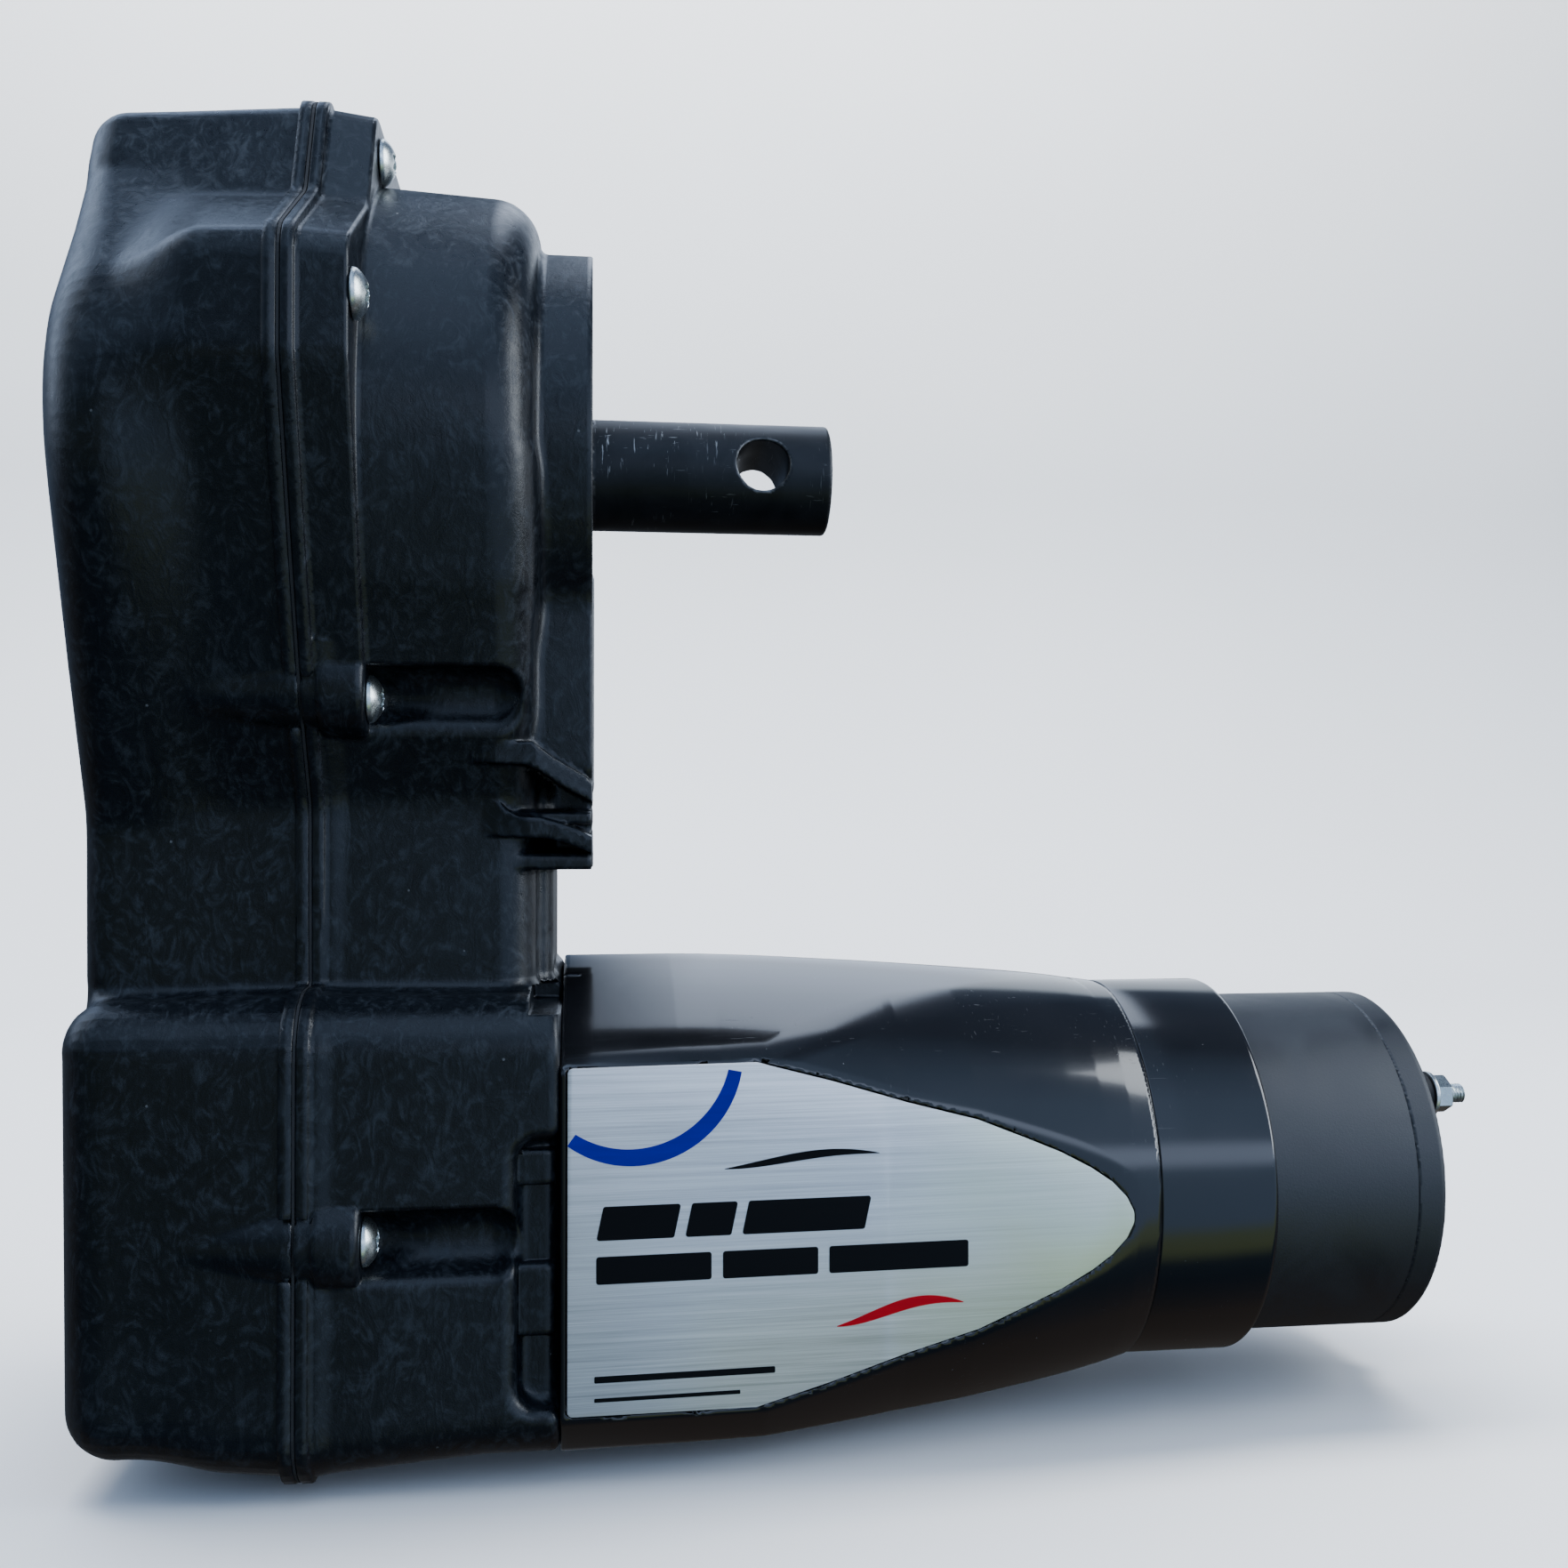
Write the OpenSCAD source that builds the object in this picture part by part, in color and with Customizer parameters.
// Gear motor: a two-piece black case with a spur gear train and a planetary stage, driven by a
// brushed DC motor below the output shaft.
// X runs along every axis, with the mounting face at x = 0 and the output shaft and motor both
// reaching to +X. Z is up and the output axis is y = z = 0. The case lies behind the face, at -X.

/* [Output shaft] */
// Diameter of the output shaft's free end
shaft_d = 28.575; // [25:0.005:28.9]
// Length of shaft standing out of the mounting face
shaft_len = 61.5; // [54:0.5:90]
// Diameter of the cross hole for the drive pin
cross_hole_d = 13.5; // [8:0.1:14]
// Distance of the cross hole from the mounting face
cross_hole_x = 43.5; // [34:0.5:46]
// Angle of the cross hole about the shaft, from the horizontal
cross_hole_turn = 6.5; // [-45:0.5:45]

/* [Gear case] */
// Where the two case halves meet, behind the mounting face
seam_x = -64.5; // [-65:0.1:-64]
// Radius of the front dome where it meets the screw flange
dome_r = 68.1; // [67.5:0.1:69]
// Radius of the round boss that carries the mounting face
boss_r = 54.3; // [52:0.1:56]
// Depth of the mounting pad
pad_t = 13; // [12:0.1:13.4]
// Angle of the motor's two through bolts about its axis
bolt_turn = 82; // [80:1:84]
// How far the sealing beads stand proud of the case outline
bead_h = 1.4; // [1:0.1:3.2]
// Height of the pan heads on the case screws
screw_head_h = 3.5; // [2.5:0.1:4.5]
// Diameter of the pan heads on the case screws
screw_head_d = 11; // [8:0.1:12]

/* [Mounting] */
// Distance between the mounting holes, both ways
mount_pitch = 60; // [58:0.5:62]
// Bore of the threaded inserts
insert_bore = 7.94; // [6.5:0.01:9]

/* [Motor] */
// Height of the motor axis below the output axis
motor_drop = 183; // [183:1:183]
// Outside radius of the motor can
can_r = 44.45; // [44.2:0.05:44.8]
// Outside radius of the collar band over the can
collar_r = 48.85; // [47.5:0.05:50]
// Where the can ends, in front of the mounting face
can_end = 211.7; // [209:0.1:220]
// Half width of the motor shroud where it meets the case
shroud_w = 56; // [55:0.5:57]

/* [Gears] */
// Pressure angle of every gear
pressure_angle = 25; // [24:0.5:26]
// Tooth thinning that gives running backlash
backlash = 0.22; // [0.18:0.01:0.3]

/* [Hidden] */
$fn = 96;

case_black = [0.08, 0.08, 0.085];
motor_black = [0.09, 0.09, 0.09];
shroud_black = [0.1, 0.1, 0.105];
plated = [0.78, 0.8, 0.78];
race_steel = [0.7, 0.7, 0.72];
ball_steel = [0.8, 0.8, 0.82];
gear_steel = [0.55, 0.56, 0.58];
planet_steel = [0.62, 0.6, 0.5];
bright_steel = [0.6, 0.6, 0.62];
shaft_steel = [0.5, 0.5, 0.52];
dark_steel = [0.3, 0.3, 0.32];
bronze = [0.72, 0.5, 0.25];
plate_silver = [0.72, 0.74, 0.7];

// ---- gear sizes and axes
spur_module = 2.5;     // layshaft pinion and output gear
lay_pinion_teeth = 12;
output_teeth = 48;
train_module = 2;      // carrier pinion, idler and layshaft gear
carrier_teeth = 15;
idler_teeth = 30;
lay_teeth = 33;
planet_module = 1.2;   // sun, planets and ring
sun_teeth = 12;
planet_teeth = 24;
ring_teeth = 60;

motor_z = -motor_drop;
lay_z = -spur_module * (lay_pinion_teeth + output_teeth) / 2;
idler_z = lay_z - train_module * (lay_teeth + idler_teeth) / 2;
planet_circle = planet_module * (sun_teeth + planet_teeth) / 2;
planet_angles = [90, 210, 330];

// ---- shared sizes
half_gasket = 0.3;
running = 0.04;        // radial clearance of running fits
fit = 0.05;            // clearance of assembled parts
journal_r = 10;        // layshaft and carrier
bush_r = 13;           // outside of their bushes
bush_start = -110.5;   // rear bushes, both ends
bush_end = -98;
lay_front_bush = [-31, -18.5];
output_seat_r = 16;    // output gear's bore
output_gear_x = [-60.5, -35.5];
train_x = [-90, -76];  // layshaft gear and idler, rear and front faces
idler_pin_r = 7;
idler_bush_r = 9.5;
planet_pin_r = 4;
ring_gear_r = 41.5;
pilot_r = 24;          // spigot on the motor's front plate
insert_r = 6.5;
can_bore = can_r - 3;

// ---- placing helpers; start and end are X positions
// 2D (x, y) laid in the (Y, Z) plane
module prism(start, end)
  translate([start, 0, 0]) rotate([90, 0, 90]) linear_extrude(height = end - start) children();
module rod(start, end, radius, z = 0, end_radius = undef)
  translate([start, 0, z]) rotate([0, 90, 0])
    cylinder(h = end - start, r1 = radius, r2 = end_radius == undef ? radius : end_radius);
// turned profile of [radius, x] points
module turned(points, z = 0)
  translate([0, 0, z]) rotate([0, 90, 0]) rotate_extrude() polygon(points);
module ring(start, end, outer, inner, z = 0)
  turned([[inner, start], [outer, start], [outer, end], [inner, end]], z);
// box centred on y = 0
module box(start, end, width, low, high)
  translate([start, -width / 2, low]) cube([end - start, width, high - low]);
// upright prism of [x, y] points
module plan(low, high, points)
  translate([0, 0, low]) linear_extrude(height = high - low) polygon(points);
// prism across Y of [x, z] points, centred on y
module elevation(width, points, y = 0)
  translate([0, y + width / 2, 0]) rotate([90, 0, 0]) linear_extrude(height = width) polygon(points);

module both_sides(y, z) for (side = [-1, 1]) translate([0, side * y, z]) children();
module at_motor() translate([0, 0, motor_z]) children();
// turned copies about the motor axis
module around_motor(count, first = 0) for (i = [0:count - 1])
  at_motor() rotate([first + i * 360 / count, 0, 0]) children();
// unturned copies on a circle about the motor axis
module on_motor_circle(radius, angles) for (angle = angles)
  translate([0, radius * cos(angle), motor_z + radius * sin(angle)]) children();
module at_face_screws() on_motor_circle(33, [45, 135, 225, 315]) children();
module at_through_bolts() on_motor_circle(38.2, [bolt_turn, bolt_turn + 180]) children();
module at_mount_holes() for (side = [-1, 1], level = [-1, 1])
  translate([0, side * mount_pitch / 2, level * mount_pitch / 2]) children();

// ---- outlines
function unit(v) = v / norm(v);
function right_normal(a, b) = let (along = unit(b - a)) [along[1], -along[0]];
// arc of the given radius that rounds the corner at b
function fillet(a, b, c, radius, steps) =
  let (to_a = unit(a - b), to_c = unit(c - b),
       half = acos(max(-1, min(1, to_a * to_c))) / 2,
       centre = b + unit(to_a + to_c) * radius / sin(half),
       first = b + to_a * radius / tan(half) - centre,
       last = b + to_c * radius / tan(half) - centre,
       first_angle = atan2(first[1], first[0]),
       sweep = ((atan2(last[1], last[0]) - first_angle + 540) % 360) - 180)
  [for (i = [0:steps]) let (angle = first_angle + sweep * i / steps)
    centre + radius * [cos(angle), sin(angle)]];
function corner_at(corners, i) =
  let (corner = corners[(i + len(corners)) % len(corners)]) [corner[0], corner[1]];
// rounded outline; corners are [y, z, radius], counter-clockwise
function outline(corners, grow = 0, steps = 5) =
  let (count = len(corners),
       moved = [for (i = [0:count - 1])
         let (a = corner_at(corners, i - 1), b = corner_at(corners, i),
              c = corner_at(corners, i + 1),
              before = right_normal(a, b), after = right_normal(b, c),
              convex = cross(b - a, c - b) > 0)
         [b + grow * (before + after) / (1 + before * after),
          max(0.4, corners[i][2] + (convex ? grow : -grow))]])
  [for (i = [0:count - 1])
    for (p = fillet(moved[(i + count - 1) % count][0], moved[i][0],
                    moved[(i + 1) % count][0], moved[i][1], steps)) p];
function mirrored(corners) =
  [for (i = [len(corners) - 1:-1:0]) [-corners[i][0], corners[i][1], corners[i][2]]];
// rounded rectangle about the motor axis
function motor_rectangle(half_width, half_height, radius, steps = 5) =
  outline([[half_width, motor_z - half_height, radius], [half_width, motor_z + half_height, radius],
    [-half_width, motor_z + half_height, radius], [-half_width, motor_z - half_height, radius]],
    0, steps);
// closed profile from [x, half width] stations; a zero half width gives a single point
function symmetric(stations, centre = 0, inset = 0) = concat(
  [for (s = stations) [s[0], centre - s[1] + inset]],
  [for (i = [len(stations) - 1:-1:0]) let (s = stations[i])
    if (s[1] != 0) [s[0], centre + s[1] - inset]]);

// ---- involute gears, teeth along +X seen in the (Y, Z) plane
function involute(angle) = tan(angle) - angle * PI / 180;
// angle from a tooth's centre line to its flank
function half_tooth(radius, tooth_module, teeth, thinning) =
  let (pitch_r = tooth_module * teeth / 2, base_r = pitch_r * cos(pressure_angle))
  ((PI * tooth_module / 2 - thinning) / (2 * pitch_r) + involute(pressure_angle)
    - involute(acos(min(1, base_r / max(radius, base_r))))) * 180 / PI;
function gear_points(tooth_module, teeth, addendum, dedendum, thinning, steps = 4) =
  let (pitch_r = tooth_module * teeth / 2, base_r = pitch_r * cos(pressure_angle),
       root_r = pitch_r - dedendum, tip_r = pitch_r + addendum,
       flank_r = max(root_r, base_r),
       radii = concat(root_r < base_r ? [root_r] : [],
         [for (i = [0:steps]) flank_r + (tip_r - flank_r) * i / steps]),
       count = len(radii))
  [for (i = [0:teeth - 1]) for (j = [0:2 * count - 1])
    let (rising = j < count, radius = radii[rising ? j : 2 * count - 1 - j],
         half = half_tooth(radius, tooth_module, teeth, thinning),
         angle = 360 / teeth * i + (rising ? -half : half))
    radius * [cos(angle), sin(angle)]];
module gear(tooth_module, teeth, start, end, phase, z = 0)
  translate([0, 0, z]) prism(start, end) rotate(phase)
    polygon(gear_points(tooth_module, teeth, tooth_module, 1.25 * tooth_module, backlash));
// annular recesses in both faces of a gear; the cutters run past the faces
module face_recesses(faces, depth, outer, inner, z = 0, past = 1) {
  ring(faces[0] - past, faces[0] + depth, outer, inner, z);
  ring(faces[1] - depth, faces[1] + past, outer, inner, z);
}

// turn that meshes a gear with its driver, which sees it at the given angle
function mesh_phase(teeth, driver_teeth, driver_phase = 0, angle = 90) =
  angle + 180 + (180 - driver_teeth * (driver_phase - angle)) / teeth;
planet_phases = [for (angle = planet_angles) mesh_phase(planet_teeth, sun_teeth, angle = angle)];
ring_phase = planet_angles[0]
  + (planet_teeth * (planet_phases[0] - planet_angles[0]) - 180) / ring_teeth;
idler_phase = mesh_phase(idler_teeth, carrier_teeth);
lay_phase = mesh_phase(lay_teeth, idler_teeth, idler_phase);
output_phase = mesh_phase(output_teeth, lay_pinion_teeth);

// ---- ball bearings, as rows of these columns
START = 0;
END = 1;
BORE_R = 2;
INNER_SHOULDER_R = 3;
OUTER_SHOULDER_R = 4;
OUTER_R = 5;
BALL_R = 6;
BALL_COUNT = 7;
front_bearing = [-21, -8, 15, 19, 23.5, 27.5, 4, 9];
rear_bearing = [-110.5, -95.5, 12.5, 17, 21.5, 26, 4, 8];
motor_bearings = [[-5, 3, 6, 8.3, 11.7, 14, 2.4, 8], [195, 203, 6, 8.3, 11.7, 14, 2.4, 8]];

function ball_circle(bearing) = (bearing[BORE_R] + bearing[OUTER_R]) / 2;
function mid_x(bearing) = (bearing[START] + bearing[END]) / 2;
// turns a race section of [radius, x] points, less the ball groove
module race(bearing, section, z) translate([0, 0, z]) rotate([0, 90, 0]) rotate_extrude()
  difference() {
    polygon(section);
    translate([ball_circle(bearing), mid_x(bearing)]) circle(r = bearing[BALL_R] + 0.05);
  }
module outer_race(bearing, z = 0) {
  start = bearing[START];
  end = bearing[END];
  outer = bearing[OUTER_R];
  shoulder = bearing[OUTER_SHOULDER_R];
  edge = 0.6;
  race(bearing, [[shoulder, start], [outer - edge, start], [outer, start + edge],
    [outer, end - edge], [outer - edge, end], [shoulder, end]], z);
}
module inner_race(bearing, z = 0) {
  bore = bearing[BORE_R];
  shoulder = bearing[INNER_SHOULDER_R];
  race(bearing, [[bore, bearing[START]], [shoulder, bearing[START]],
    [shoulder, bearing[END]], [bore, bearing[END]]], z);
}
module bearing_balls(bearing, z = 0) for (i = [0:bearing[BALL_COUNT] - 1]) {
  angle = 360 / bearing[BALL_COUNT] * i;
  radius = ball_circle(bearing);
  translate([mid_x(bearing), radius * cos(angle), z + radius * sin(angle)])
    sphere(r = bearing[BALL_R] - 0.03);
}

// ---- case
bulge_w = 57;    // half width of the bulge round the motor axis
bulge_h = 54;    // half height of the bulge
neck_w = 37;     // half width of the neck above it
wall = 6;
cover_edge = seam_x - half_gasket;
housing_edge = seam_x + half_gasket;
flange_front = -50.3;
pad_rear = -pad_t - 0.5;
cut_rear = -66;  // cuts run past the seam to these
cut_front = -60;

// right half of the case outline, [y, z, radius] from the bottom up
half_case = [[bulge_w, motor_z - bulge_h, 13], [bulge_w, motor_z + bulge_h, 13],
  [neck_w, motor_z + bulge_h, 2.5], [neck_w + 1, -86, 10], [52, -60, 10], [62, -34, 30],
  [77, 8, 12], [77, 33, 9], [47, 52, 9], [35, 79, 8]];
case_corners = concat(half_case, mirrored(half_case));

// case screws, [y, z], one on each side
bottom_screw = [53, motor_z];
waist_screw = [47, -62];
screw_places = [[28, 68], [72, 22], waist_screw, bottom_screw];
lower_screws = [waist_screw, bottom_screw];
screw_clearance_r = 2.8;

module at_screws(places = screw_places, outward = 0)
  for (place = places) both_sides(place[0] + outward, place[1]) children();
module case_block(start, end, grow = 0) prism(start, end) polygon(outline(case_corners, grow));
module bottom_screw_bosses(start, end) at_screws([bottom_screw]) rod(start, end, 10.8);
module motor_cavity(start, end)
  prism(start, end) polygon(motor_rectangle(bulge_w - wall, bulge_h - wall, 9));

module rear_cover_solid() {
  // one outline all the way back, its rear edge rolled over
  intersection() {
    case_block(-116, cover_edge);
    union() {
      intersection() {
        turned([[0, -116.5], [54, -116.5], [62, -114], [69, -108], [74, -99], [92, -66],
          [92, -60], [0, -60]]);
        box(-120, -58, 190, -92, 103);
      }
      plan(-142, -60, symmetric([[-117, 24], [-112, 31], [-104, 35], [-60, 39]]));
      intersection() {
        plan(motor_z - 60, motor_z + 60,
          symmetric([[-117, 42], [-113, 49], [-105, 54.5], [-60, 58]]));
        elevation(124, [[-117, motor_z - 40], [-113, motor_z - 47], [-105, motor_z - 51.5],
          [-60, motor_z - 55], [-60, motor_z + 55], [-105, motor_z + 52],
          [-113, motor_z + 48], [-117, motor_z + 42]]);
      }
    }
  }
  // sealing bead
  case_block(-67.8, cover_edge, bead_h);
  // bullet noses behind the four lower screws
  at_screws(lower_screws) rod(-86.5, -67.5, 2.5, end_radius = 7.4);
}

module rear_cover() color(case_black) difference() {
  rear_cover_solid();
  // cavity, leaving bosses round the seats and bottom screws
  difference() {
    union() {
      rod(-111, cut_front, 63.5);
      rod(-103, cut_front, 36, lay_z);
      box(-103, cut_front, 66, -150, -20);
      box(-111, -91, 56, -150, -20);
      motor_cavity(-103, cut_front);
      prism(-111, -90) polygon(motor_rectangle(45, 43, 9));
    }
    rod(-111.5, rear_bearing[END], 31);
    rod(-111.5, bush_end, 16, lay_z);
    rod(-111.5, -93, 13, idler_z);
    rod(-111.5, bush_end, 16, motor_z);
    bottom_screw_bosses(-90, cut_front);
  }
  // bearing, bush and pin seats
  rod(rear_bearing[START], -90, rear_bearing[OUTER_R]);
  rod(bush_start, -90, bush_r, lay_z);
  rod(-109, -90, idler_pin_r, idler_z);
  rod(bush_start, -90, bush_r, motor_z);
  at_screws() rod(-85, cut_front, 2.5);
}

module front_housing_solid() {
  // screw flange and sealing bead
  case_block(housing_edge, flange_front);
  case_block(housing_edge, -61.4, bead_h);
  // dome
  turned([[0, housing_edge], [dome_r, housing_edge], [dome_r, -52], [dome_r - 1.5, -23],
    [dome_r - 2.3, -18.6], [dome_r - 5, -15], [dome_r - 9, -13.4], [dome_r - 12, -13], [0, -13]]);
  // boss and pad
  turned([[0, -13.5], [boss_r + 2, -13.5], [boss_r, -12], [boss_r, -1], [boss_r - 1, 0], [0, 0]]);
  prism(pad_rear, 0) polygon(outline([[40, -80, 3], [40, -30, 4], [-40, -30, 4], [-40, -80, 3]]));
  prism(pad_rear, 0)
    polygon(outline([[24, -101.5, 3], [24, -60, 3], [-24, -60, 3], [-24, -101.5, 3]]));
  // cross rib and foot below the pad
  box(pad_rear, -0.2, 74, -90.6, -87.7);
  box(pad_rear, -0.1, 73, -101.5, -97.6);
  // flanks and neck, flush with the screw flange, front edges rolled over
  intersection() {
    case_block(housing_edge, -13);
    plan(-132, -22, symmetric([[-66, 80], [-40, 62], [-24, 57], [-17, 50], [-13, 40]]));
  }
  // gusset shelves, upper and lower
  for (side = [-1, 1]) {
    elevation(25, [[-40, -76.5], [-40, -71.5], [-14, -71.8], [-12, -72.5], [-0.4, -81],
      [-0.4, -86], [-14, -77]], side * 32.5);
    elevation(21, [[-30, -93.5], [-30, -88.5], [-14, -89], [-0.4, -92.8], [-0.4, -96.6],
      [-14, -93.8]], side * 30.5);
  }
  // lower bulge
  intersection() {
    prism(-52, -7) polygon(motor_rectangle(bulge_w, bulge_h, 13));
    plan(motor_z - 60, motor_z + 60, symmetric([[-52, 57], [-7, 56]]));
  }
}

module front_housing() color(case_black) difference() {
  front_housing_solid();
  // cavity, leaving bosses round the seats and bottom screws
  difference() {
    union() {
      rod(cut_rear, -18, 63.5);
      box(cut_rear, -18, 65, -150, -20);
      motor_cavity(cut_rear, -16);
    }
    rod(-22, -17, 33);
    rod(lay_front_bush[0], -17, 16, lay_z);
    rod(-46, -15, 46, motor_z);
    bottom_screw_bosses(cut_rear, -15);
  }
  // front bearing, seal and bush seats
  rod(-31, front_bearing[END], front_bearing[OUTER_R]);
  rod(-9, 1, 23.5);
  rod(-32, lay_front_bush[1], bush_r, lay_z);
  // ring gear seat and motor pilot
  rod(-50, -16, ring_gear_r, motor_z);
  rod(-17, -6, pilot_r, motor_z);
  at_mount_holes() rod(-12, 1, insert_r);
  at_screws() rod(cut_rear, -50, screw_clearance_r);
  // half-round runs in front of the four lower screw heads
  run_r = 7.5;
  at_screws(lower_screws, outward = 3) {
    rod(flange_front, -23, run_r);
    translate([-23, 0, 0]) sphere(r = run_r);
  }
  at_screws(lower_screws) rod(flange_front, -45.5, 6.2);
  // recess between the two lower corners, where the motor face sits
  box(-15, -6, 116, motor_z + 38, motor_z + 47);
  at_face_screws() rod(-17, -6, 3);
}

module case_gasket() color([0.02, 0.02, 0.02]) difference() {
  case_block(cover_edge, housing_edge, 1.2);
  rod(cut_rear, cut_front, 63.6);
  box(cut_rear, cut_front, 66, -150, -20);
  rod(cut_rear, cut_front, 36, lay_z);
  difference() {
    motor_cavity(cut_rear, cut_front);
    bottom_screw_bosses(-67, -59);
  }
  at_screws() rod(cut_rear, cut_front, screw_clearance_r);
}

// pan heads with a six-lobed recess; the shanks point to -X
module case_screws() color(plated) {
  head_r = screw_head_d / 2;
  at_screws() translate([flange_front, 0, 0]) difference() {
    union() {
      rod(-34, 0, 2.45);
      turned([[0, 0], [head_r, 0], [head_r, 1.6], [head_r - 0.9, screw_head_h - 0.6],
        [head_r - 2.2, screw_head_h], [0, screw_head_h]]);
    }
    prism(screw_head_h - 2.2, screw_head_h + 1)
      polygon([for (i = [0:11]) (i % 2 == 0 ? 2.6 : 1.9) * [cos(i * 30), sin(i * 30)]]);
  }
}

// ---- output train
seal_land_r = 14.6;

module output_key_block() box(-58, -38, 8, 11, 19);
module output_shaft() color([0.07, 0.07, 0.07]) difference() {
  turned([[0, -110], [11.5, -110], [12.5, -109], [12.5, -95.5], [output_seat_r, -95.5],
    [output_seat_r, -62.4], [15, -62.4], [15, output_gear_x[0]],
    [output_seat_r, output_gear_x[0]], [output_seat_r, output_gear_x[1]],
    [19, output_gear_x[1]], [19, -31], [17, -31], [17, -21], [15, -21], [15, -8],
    [seal_land_r, -8], [seal_land_r, 0], [shaft_d / 2, 0], [shaft_d / 2, shaft_len - 1],
    [shaft_d / 2 - 1, shaft_len], [0, shaft_len]]);
  translate([cross_hole_x, 0, 0]) rotate([-cross_hole_turn, 0, 0]) rotate([90, 0, 0])
    cylinder(h = 60, d = cross_hole_d, center = true);
  output_key_block();
}
module output_key() color(bright_steel) output_key_block();
module output_gear() color(gear_steel) difference() {
  gear(spur_module, output_teeth, output_gear_x[0], output_gear_x[1], output_phase);
  rod(-61, -35, output_seat_r);
  box(-61, -35, 8, 10, 19);
  face_recesses(output_gear_x, 6.5, 50, 28, past = 0.5);
}
module output_retaining_ring() color(dark_steel) difference() {
  ring(-62.3, -60.6, 19, 15);
  box(-63, -60, 5, -22, -10);
}
module output_front_bearing_outer() color(race_steel) outer_race(front_bearing);
module output_front_bearing_inner() color(race_steel) inner_race(front_bearing);
module output_front_bearing_balls() color(ball_steel) bearing_balls(front_bearing);
module output_rear_bearing_outer() color(race_steel) outer_race(rear_bearing);
module output_rear_bearing_inner() color(race_steel) inner_race(rear_bearing);
module output_rear_bearing_balls() color(ball_steel) bearing_balls(rear_bearing);
module output_seal() color([0.12, 0.12, 0.12]) turned([
  [seal_land_r + running, -4.4], [seal_land_r + running, -3.4], [15.6, -1.6], [16.8, -1.2],
  [16.8, -1], [19.5, -0.6], [23.5, -0.6], [23.5, -7.6], [21.5, -7.6], [21.5, -2.6],
  [17.6, -3.4], [16.4, -6.6], [15.4, -6.6]]);
module mounting_inserts() color([0.62, 0.56, 0.35])
  at_mount_holes() ring(-12, -0.3, insert_r, insert_bore / 2);

// ---- layshaft and idler
module shaft_bush(start, end, z) ring(start, end, bush_r, journal_r + running, z);
module layshaft_key_block(height) box(-89, -77, 6, lay_z + 6.5, lay_z + 6.5 + height);

module layshaft() color(shaft_steel) difference() {
  union() {
    rod(-110, train_x[0] - fit, journal_r, lay_z);
    rod(train_x[0] - fit, train_x[1] + fit, journal_r, lay_z);
    rod(train_x[1] + fit, -34, 11.8, lay_z);
    rod(-34, -19, journal_r, lay_z);
    gear(spur_module, lay_pinion_teeth, -62, -34, 0, lay_z);
  }
  layshaft_key_block(7);
}
module layshaft_key() color(bright_steel) layshaft_key_block(6);
module layshaft_gear() color(gear_steel) difference() {
  gear(train_module, lay_teeth, train_x[0], train_x[1], lay_phase, lay_z);
  rod(train_x[0] - 1, train_x[1] + 1, journal_r, lay_z);
  box(train_x[0] - 1, train_x[1] + 1, 6, lay_z + 5, lay_z + 12.5);
  face_recesses(train_x, 3.5, 27, 16, lay_z);
}
module layshaft_bushes() color(bronze) {
  shaft_bush(bush_start, bush_end, lay_z);
  shaft_bush(lay_front_bush[0], lay_front_bush[1], lay_z);
}
module idler_gear() color(gear_steel) difference() {
  gear(train_module, idler_teeth, train_x[0], train_x[1], idler_phase, idler_z);
  rod(train_x[0] - 1, train_x[1] + 1, idler_bush_r, idler_z);
  face_recesses(train_x, 3.5, 24, 14, idler_z);
}
module idler_bush() color(bronze)
  ring(train_x[0] - 0.2, train_x[1] + 0.2, idler_bush_r, idler_pin_r + running, idler_z);
module idler_pin() color(bright_steel) difference() {
  rod(-109, -72, idler_pin_r, idler_z);
  ring(-74.9, -73.5, 8, 6.2, idler_z);
}
module idler_clip() color(dark_steel) difference() {
  ring(-74.8, -73.6, 9.5, 6.25, idler_z);
  box(-76, -72, 4, idler_z - 12, idler_z - 4);
}

// ---- planetary stage
module planet_carrier() color(shaft_steel) difference() {
  union() {
    rod(-110, -55, journal_r, motor_z);
    rod(-56, -46, 27, motor_z);
    gear(train_module, carrier_teeth, -92, -74, 0, motor_z);
    rod(-74, -55.5, 12, motor_z);
  }
  on_motor_circle(planet_circle, planet_angles) rod(-57, -45, planet_pin_r);
}
module planet_pins() color(bright_steel)
  on_motor_circle(planet_circle, planet_angles) rod(-56, -22.5, planet_pin_r);
module carrier_bush() color(bronze) shaft_bush(bush_start, bush_end, motor_z);
module planet(i) on_motor_circle(planet_circle, [planet_angles[i]]) difference() {
  gear(planet_module, planet_teeth, -43, -23, planet_phases[i]);
  rod(-44, -22, planet_pin_r + running);
}
module planet_gear_1() color(planet_steel) planet(0);
module planet_gear_2() color(planet_steel) planet(1);
module planet_gear_3() color(planet_steel) planet(2);
module ring_gear() color([0.45, 0.45, 0.47]) difference() {
  rod(-45, -20, ring_gear_r, motor_z);
  at_motor() prism(-46, -19) rotate(ring_phase + 180 / ring_teeth) polygon(
    gear_points(planet_module, ring_teeth, 1.25 * planet_module, planet_module, -backlash));
}
module sun_gear() color(gear_steel) difference() {
  gear(planet_module, sun_teeth, -44.5, -21.5, 0, motor_z);
  rod(-45, -21, 4, motor_z);
}

// ---- motor
slots = 12;              // armature slots and commutator bars
poles = 4;               // magnets and brushes
pole_turn = 45;          // angle of the first pole
core_x = [52, 138];
winding_gap = 0.1;
bell_lip = can_end - 7.6;
stud_y = 20;
stud_z = motor_z + 20;

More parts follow.
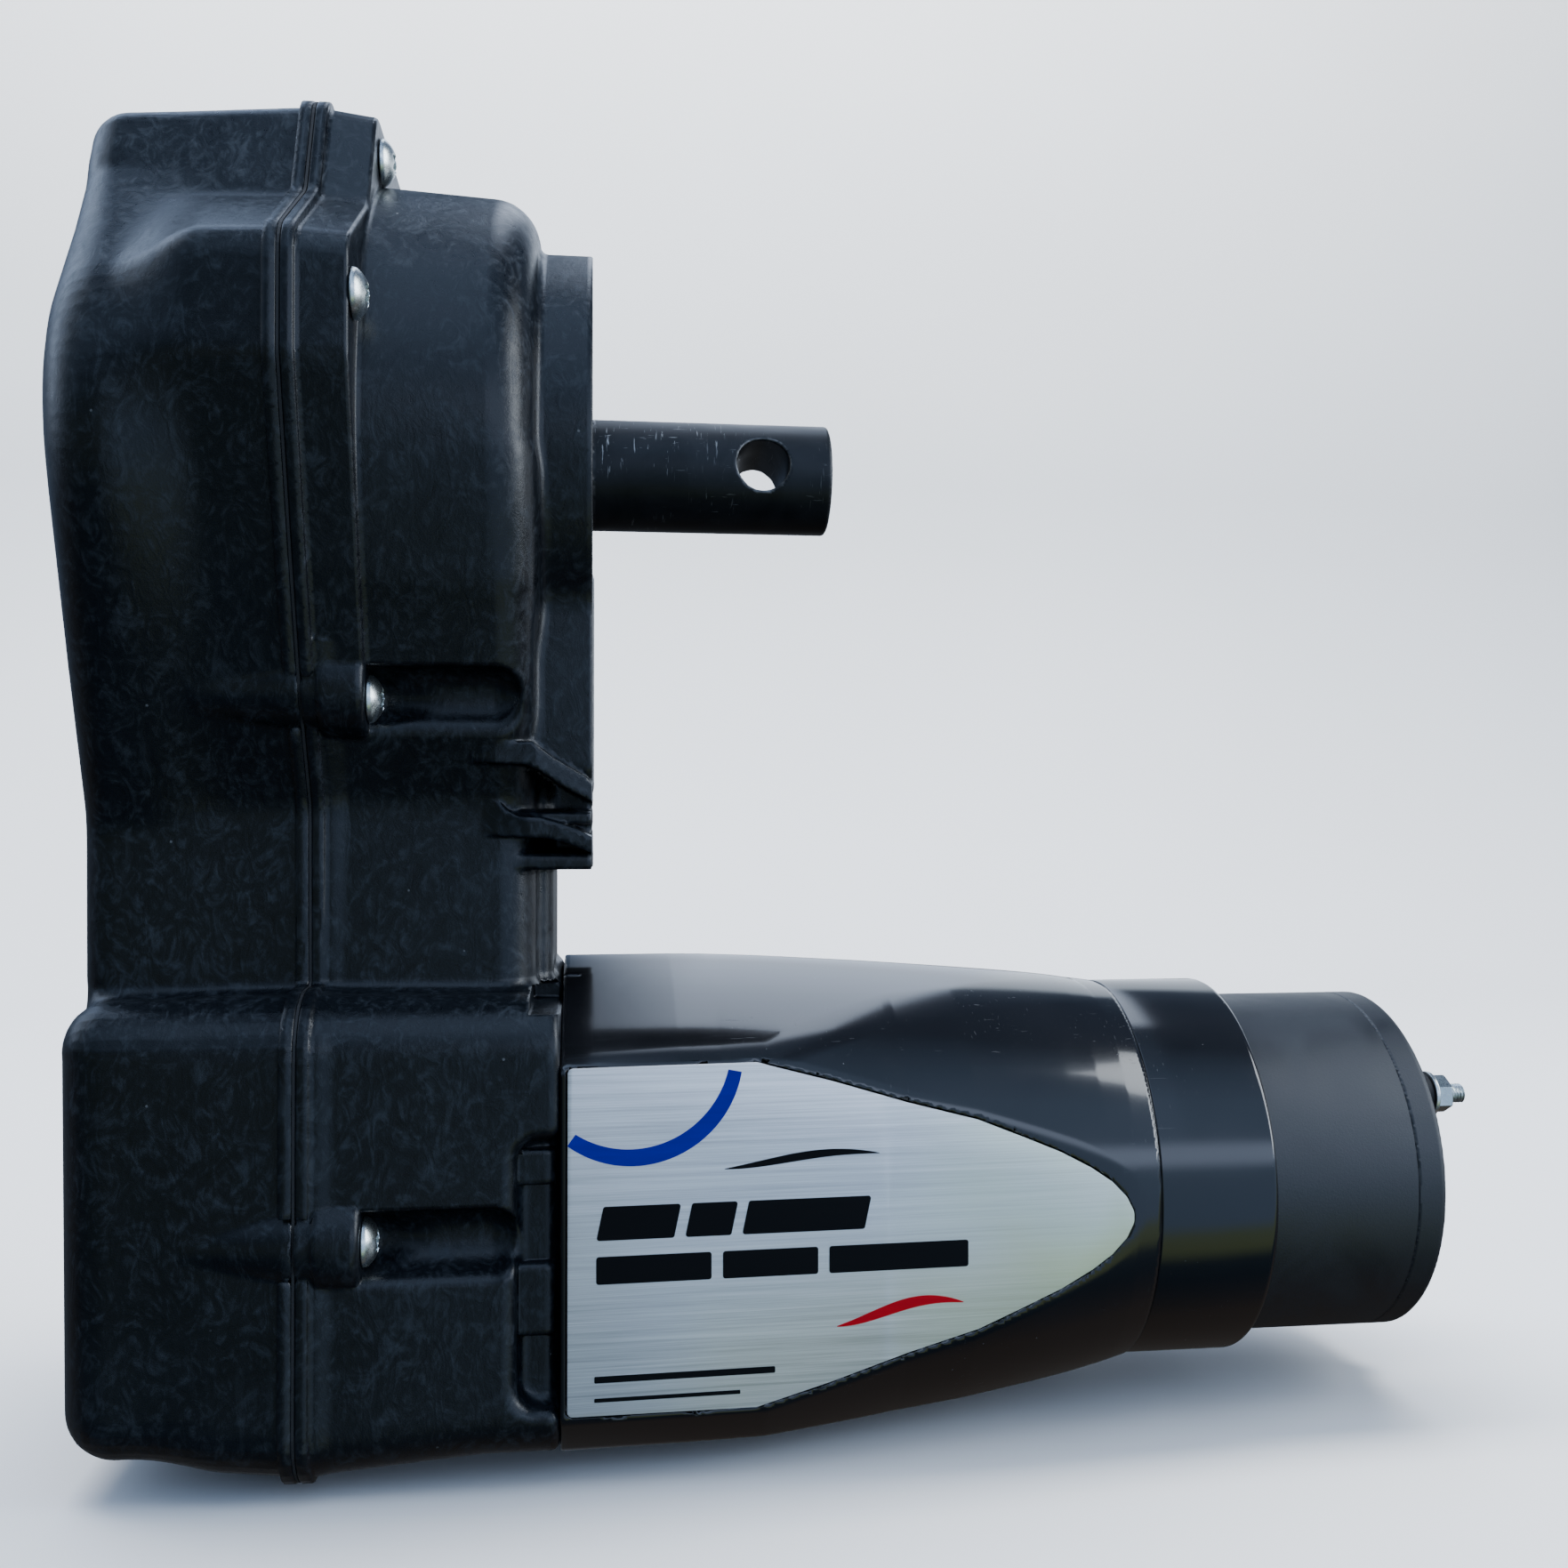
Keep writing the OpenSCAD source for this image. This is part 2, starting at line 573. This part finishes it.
module armature_shaft() color(bright_steel)
  turned([[0, -44.5], [4, -44.5], [4, -21.5], [6, -21.5], [6, 204], [5, 205], [0, 205]], motor_z);
module armature_core() color([0.4, 0.4, 0.42]) difference() {
  rod(core_x[0], core_x[1], 33, motor_z);
  rod(core_x[0] - 1, core_x[1] + 1, 6, motor_z);
  around_motor(slots) {
    box(core_x[0] - 1, core_x[1] + 1, 7, 14, 29);
    box(core_x[0] - 1, core_x[1] + 1, 2.4, 28, 36);
  }
}
module armature_windings() color([0.62, 0.3, 0.12]) {
  start = core_x[0] - winding_gap;
  end = core_x[1] + winding_gap;
  // end turns
  turned([[7, 43], [9, 40.5], [25, 40.5], [29, 44], [29, start], [7, start]], motor_z);
  turned([[7, end], [29, end], [29, 146], [25, 149.5], [9, 149.5], [7, 147]], motor_z);
  // slot bundles
  around_motor(slots) box(start, end, 6.6, 14.2, 28.7);
}
module commutator() color([0.75, 0.42, 0.2]) difference() {
  turned([[6, 153], [17, 153], [17, 156], [14, 157], [14, 180], [6, 180]], motor_z);
  around_motor(slots, 15) box(152, 181, 0.8, 11.5, 19.5);
}
module motor_bearing_inner() color(race_steel)
  for (bearing = motor_bearings) inner_race(bearing, motor_z);
module motor_bearing_outer() color(race_steel)
  for (bearing = motor_bearings) outer_race(bearing, motor_z);
module motor_bearing_balls() color(ball_steel)
  for (bearing = motor_bearings) bearing_balls(bearing, motor_z);
module motor_front_plate() color(shaft_steel) difference() {
  union() {
    rod(-7, 4, can_r, motor_z);
    rod(4, 8, can_bore - fit, motor_z);
    rod(-15, -6, pilot_r, motor_z);
  }
  rod(-5, 9, 14, motor_z);
  rod(-16, 9, 9.5, motor_z);
  rod(3, 9, 30, motor_z);
  at_face_screws() rod(-8, 9, 2.4);
  at_through_bolts() rod(1, 9, 2.4);
}
// screws from the gear side into the motor's front plate
module motor_screws() color(plated) at_face_screws() {
  rod(-16, 3.5, 2.4);
  rod(-18.9, -16, 4.3);
}
module motor_can() color(motor_black) turned([[can_r, 4], [can_r, can_end - 7.7],
  [can_bore, can_end - 7.7], [can_bore, 4]], motor_z);
module field_magnets() color([0.25, 0.25, 0.27]) around_motor(poles, pole_turn) intersection() {
  ring(45, 145, 41.4, 34.2);
  box(44, 146, 40, 10, 50);
}
module brush_plate() color([0.2, 0.13, 0.07]) difference() {
  rod(183, 186, 41.3, motor_z);
  rod(182, 187, 16, motor_z);
  at_through_bolts() rod(182, 187, 2.6);
  both_sides(stud_y, motor_z + 11) rod(182, 187, 3);
}
module brush_holders() color([0.72, 0.6, 0.3]) around_motor(poles, pole_turn) difference() {
  box(169, 183, 10, 16.5, 36.5);
  box(170.5, 181.5, 7, 16, 35);
}
module brushes() color([0.15, 0.15, 0.16]) around_motor(poles, pole_turn) difference() {
  box(170.6, 181.4, 6.8, 13.9, 26.9);
  rod(170, 182, 14 + running);
}
// each spring is a stack of flat rings
module brush_springs() color(bright_steel) around_motor(poles, pole_turn)
  for (i = [0:4]) translate([176, 0, 27.4 + i * 1.7]) difference() {
    cylinder(h = 0.8, r = 3);
    translate([0, 0, -1]) cylinder(h = 3, r = 2.1);
  }
module rear_end_bell() color(motor_black) difference() {
  turned([[0, 206.5], [0, can_end - 2.2], [20, can_end - 2.2], [22, can_end - 0.8],
    [can_r - 3, can_end], [can_r - 1, can_end - 0.3], [can_r, can_end - 1.6],
    [can_r, bell_lip], [can_bore - fit, bell_lip], [can_bore - fit, 200], [can_r - 6, 200],
    [can_r - 6, 206], [16.5, 206], [16.5, 194.9], [14, 194.9], [14, 203.1], [10, 203.1],
    [10, 206.5]], motor_z);
  at_through_bolts() rod(190, 220, 2.6);
  both_sides(stud_y, stud_z) rod(190, 220, 4.5);
}
module through_bolts() color(plated) at_through_bolts() {
  rod(1.5, can_end - 0.2, 2.3);
  prism(can_end + 0.05, can_end + 3.2) circle(r = 4.6, $fn = 6);
  rod(can_end - 0.3, can_end + 0.1, 2.3);
}
module terminal_studs() color(plated) both_sides(stud_y, stud_z)
  turned([[0, 199.5], [4.6, 199.5], [4.6, 203.3], [2.05, 203.3], [2.05, 225.4], [2.5, 225.8],
    [2.5, 229.4], [1.9, 230], [0, 230]]);
module stud_nuts() color(plated) {
  start = can_end + 9.3;
  end = can_end + 13.5;
  both_sides(stud_y, stud_z) difference() {
    intersection() {
      prism(start, end) circle(r = 4.9, $fn = 6);
      turned([[0, start], [4.5, start], [5, start + 0.6], [5, end - 0.7], [4.4, end], [0, end]]);
    }
    rod(210, 230, 2.52);
  }
}
module stud_washers() color([0.7, 0.72, 0.7])
  both_sides(stud_y, stud_z) ring(can_end + 8.1, can_end + 9.25, 5.9, 2.6);
module stud_insulators() color([0.05, 0.05, 0.05]) both_sides(stud_y, stud_z)
  turned([[2.55, 203.35], [6, 203.35], [6, 205.95], [4.4, 205.95], [4.4, can_end],
    [6.6, can_end], [6.6, can_end + 3.05], [5.3, can_end + 3.6], [5.3, can_end + 8.05],
    [2.55, can_end + 8.05]]);

// ---- shroud, collar and data plates
shroud_h = 53.6;     // half height at the case
shroud_end = 135.7;
// [x, half width] down the shroud's flanks
function flank_stations(start) =
  [[start, shroud_w], [44, shroud_w], [92, 53.8], [shroud_end, 49]];

// from a rounded rectangle at the case to a circle at the collar; inset from the outer skin
module shroud_form(start, end, inset) intersection() {
  prism(start, end)
    polygon(motor_rectangle(shroud_w - inset, shroud_h - inset, 12 - inset, steps = 6));
  plan(motor_z - 60, motor_z + 60, symmetric(flank_stations(start), inset = inset));
  elevation(120, symmetric([[start, shroud_h], [44, 53.3], [92, 51.4], [shroud_end, 48.6]],
    motor_z, inset));
  turned([[0, start], [74 - inset, start], [69 - inset, 44], [61 - inset, 88],
    [collar_r - inset, shroud_end], [0, shroud_end]], motor_z);
}
module motor_shroud() color(shroud_black) difference() {
  shroud_form(-6.95, shroud_end, 0);
  shroud_form(-8, 129, 3);
  rod(-8, 137, can_r + fit, motor_z);
}
module motor_collar() color(shroud_black)
  turned([[can_r + fit, 135.8], [collar_r, 135.8], [collar_r, 164.2], [collar_r - 0.7, 165.4],
    [collar_r - 2, 165.8], [can_r + fit, 165.8]], motor_z);

// data plate as [x, half height]: straight edge at the case, rounded point towards the collar
plate_stations = [[-5.6, 38.2], [60, 37], [98, 23.5], [112, 17.5], [122, 10], [126.5, 4],
  [127.2, 0]];
// side is -1 or 1; the plate follows the shroud's flank
module data_plate(side) {
  flank = flank_stations(-7);
  intersection() {
    elevation(30, symmetric(plate_stations, motor_z), side * 45);
    plan(motor_z - 60, motor_z + 60, concat(
      [for (s = flank) [s[0], side * (s[1] + 0.75)]],
      [for (i = [len(flank) - 1:-1:0]) [flank[i][0], side * (flank[i][1] + fit)]]));
  }
}
module data_plate_near() color(plate_silver) data_plate(-1);
module data_plate_far() color(plate_silver) data_plate(1);

front_housing();
rear_cover();
case_gasket();
case_screws();
output_shaft();
output_gear();
output_key();
output_retaining_ring();
output_front_bearing_outer();
output_front_bearing_inner();
output_front_bearing_balls();
output_rear_bearing_outer();
output_rear_bearing_inner();
output_rear_bearing_balls();
output_seal();
mounting_inserts();
layshaft();
layshaft_gear();
layshaft_key();
layshaft_bushes();
idler_gear();
idler_bush();
idler_pin();
idler_clip();
planet_carrier();
planet_pins();
carrier_bush();
planet_gear_1();
planet_gear_2();
planet_gear_3();
ring_gear();
sun_gear();
armature_shaft();
armature_core();
armature_windings();
commutator();
motor_bearing_inner();
motor_bearing_outer();
motor_bearing_balls();
motor_front_plate();
motor_screws();
motor_can();
field_magnets();
brush_plate();
brush_holders();
brushes();
brush_springs();
rear_end_bell();
through_bolts();
terminal_studs();
stud_nuts();
stud_washers();
stud_insulators();
motor_shroud();
motor_collar();
data_plate_near();
data_plate_far();
